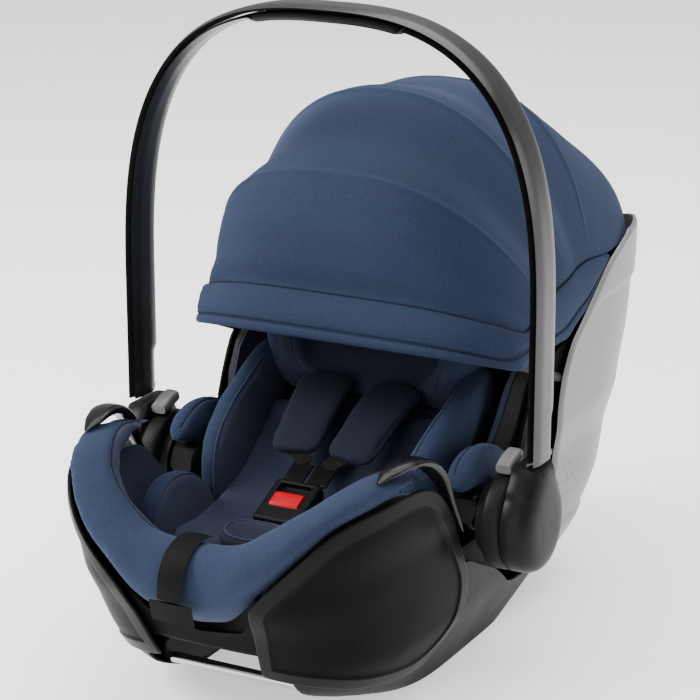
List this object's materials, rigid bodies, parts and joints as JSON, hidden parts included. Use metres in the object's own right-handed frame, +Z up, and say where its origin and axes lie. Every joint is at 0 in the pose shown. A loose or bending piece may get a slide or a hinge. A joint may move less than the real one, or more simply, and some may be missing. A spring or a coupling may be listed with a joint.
{
  "type": "infant car seat",
  "caption": "Infant carrier car seat: rocker shell with padded bucket, folding canopy hood, carry handle that swings on side hubs.",
  "frame": {"origin": "on the floor, at the middle of the overall box's width and length", "axes": "+Z up; -Y towards the child's feet and +Y towards the head; +X is the child's left-hand side"},
  "size_m": [0.444, 0.68, 0.6085],
  "materials": {
    "black_plastic": "satin black",
    "charcoal_plastic": "fine grain",
    "grey_satin_plastic": "satin grey",
    "handle_plastic": "satin",
    "button_plastic": "matt grey",
    "red_plastic": "gloss red",
    "grip_rubber": "soft touch",
    "steel": "bright",
    "foam": "expanded bead foam",
    "navy_fabric": "fine melange knit",
    "dark_navy_fabric": "fine knit",
    "webbing": "woven webbing"
  },
  "bodies": {
    "shell": {"base_shell": "charcoal_plastic", "underside_channel": "black_plastic", "front_latch_bar": "steel", "inner_tub": "black_plastic", "foam_liner": "foam", "seat_cover": "dark_navy_fabric", "side_panel_right": "black_plastic", "side_panel_left": "black_plastic", "back_shell": "grey_satin_plastic", "belt_horn_right": "black_plastic", "belt_horn_left": "black_plastic", "belt_guide_right": "black_plastic", "belt_guide_left": "black_plastic", "foot_bolster": "navy_fabric", "newborn_insert": "dark_navy_fabric", "crotch_pad": "dark_navy_fabric", "crotch_strap": "webbing", "buckle_body": "black_plastic", "buckle_tongue_right": "steel", "buckle_tongue_left": "steel", "shoulder_pad_right": "dark_navy_fabric", "shoulder_pad_left": "dark_navy_fabric", "side_pad_right": "navy_fabric", "side_pad_left": "navy_fabric", "adjuster_strap": "webbing", "adjuster_tab": "webbing", "hub_disc_right": "black_plastic", "hub_disc_left": "black_plastic", "pivot_bolt_right": "steel", "pivot_bolt_left": "steel", "lock_spring_right": "steel", "lock_spring_left": "steel", "canopy_pivot_right": "black_plastic", "canopy_pivot_left": "black_plastic", "canopy_tail": "navy_fabric"},
    "handle": {"handle_outer": "handle_plastic", "handle_inner_right": "handle_plastic", "handle_inner_left": "handle_plastic", "handle_grip": "grip_rubber", "hub_cover_right": "handle_plastic", "hub_cover_left": "handle_plastic"},
    "release_right": {"release_button_right": "button_plastic"},
    "release_left": {"release_button_left": "button_plastic"},
    "gear_right": {"lock_gear_right": "steel"},
    "gear_left": {"lock_gear_left": "steel"},
    "headrest": {"headrest_cushion": "dark_navy_fabric", "headrest_plate": "black_plastic"},
    "headrest_catch": {"headrest_button": "button_plastic"},
    "buckle_release": {"buckle_button": "red_plastic"},
    "harness_release": {"harness_adjuster": "black_plastic"},
    "hoop_rear": {"canopy_hoop_rear": "black_plastic", "canopy_panel_rear": "navy_fabric"},
    "hoop_middle": {"canopy_hoop_middle": "black_plastic", "canopy_panel_middle": "navy_fabric"},
    "hoop_front": {"canopy_hoop_front": "black_plastic", "canopy_panel_front": "navy_fabric"},
    "hoop_brim": {"canopy_hoop_brim": "black_plastic", "canopy_band": "navy_fabric"}
  },
  "joints": [
    {"name": "handle_swing", "type": "hinge", "parent": "shell", "child": "handle", "pos_m": [0, -0.0455, 0.15], "axis": [1, 0, 0], "range_deg": [-35, 100]},
    {"name": "release_press_right", "type": "slide", "parent": "handle", "child": "release_right", "axis": [0, 0.2419, -0.9703], "range_m": [0, 0.002], "stiffness_N_per_m": 2000, "springref_m": -0.001},
    {"name": "release_press_left", "type": "slide", "parent": "handle", "child": "release_left", "axis": [0, 0.2419, -0.9703], "range_m": [0, 0.002], "stiffness_N_per_m": 2000, "springref_m": -0.001},
    {"name": "gear_slide_right", "type": "slide", "parent": "handle", "child": "gear_right", "axis": [-1, 0, 0], "range_m": [0, 0.003], "stiffness_N_per_m": 1500, "springref_m": -0.001, "deforming": ["lock_spring_right"]},
    {"name": "gear_slide_left", "type": "slide", "parent": "handle", "child": "gear_left", "axis": [1, 0, 0], "range_m": [0, 0.003], "stiffness_N_per_m": 1500, "springref_m": -0.001, "deforming": ["lock_spring_left"]},
    {"name": "canopy_rear", "type": "hinge", "parent": "shell", "child": "hoop_rear", "pos_m": [0, 0.14, 0.225], "axis": [-1, 0, 0], "range_deg": [0, 24], "deforming": ["canopy_tail", "canopy_panel_rear", "canopy_panel_middle", "canopy_panel_front", "canopy_band"]},
    {"name": "canopy_middle", "type": "hinge", "parent": "hoop_rear", "child": "hoop_middle", "pos_m": [0, 0.14, 0.225], "axis": [-1, 0, 0], "range_deg": [0, 18], "deforming": ["canopy_panel_rear", "canopy_panel_middle", "canopy_panel_front", "canopy_band"]},
    {"name": "canopy_front", "type": "hinge", "parent": "hoop_middle", "child": "hoop_front", "pos_m": [0, 0.14, 0.225], "axis": [-1, 0, 0], "range_deg": [0, 18], "deforming": ["canopy_panel_middle", "canopy_panel_front", "canopy_band"]},
    {"name": "canopy_brim", "type": "hinge", "parent": "hoop_front", "child": "hoop_brim", "pos_m": [0, 0.14, 0.225], "axis": [-1, 0, 0], "range_deg": [0, 22], "deforming": ["canopy_panel_front", "canopy_band"]},
    {"name": "headrest_height", "type": "slide", "parent": "shell", "child": "headrest", "axis": [0, 0.8, 0.6], "range_m": [0, 0.05]},
    {"name": "headrest_catch_press", "type": "slide", "parent": "headrest", "child": "headrest_catch", "axis": [0, -0.8, -0.6], "range_m": [0, 0.003], "stiffness_N_per_m": 800, "springref_m": -0.001},
    {"name": "buckle_press", "type": "slide", "parent": "shell", "child": "buckle_release", "axis": [0, 0.4067, -0.9136], "range_m": [0, 0.002], "stiffness_N_per_m": 3000, "springref_m": -0.001},
    {"name": "harness_release_press", "type": "slide", "parent": "shell", "child": "harness_release", "axis": [0, -0.5, -0.866], "range_m": [0, 0.002], "stiffness_N_per_m": 2000, "springref_m": -0.001}
  ],
  "couplings": [
    {"joint": "gear_slide_right", "follows": "release_press_right", "ratio": 1.5},
    {"joint": "gear_slide_left", "follows": "release_press_left", "ratio": 1.5},
    {"joint": "canopy_middle", "follows": "canopy_rear", "ratio": 0.75},
    {"joint": "canopy_front", "follows": "canopy_rear", "ratio": 0.75},
    {"joint": "canopy_brim", "follows": "canopy_rear", "ratio": 0.9}
  ]
}
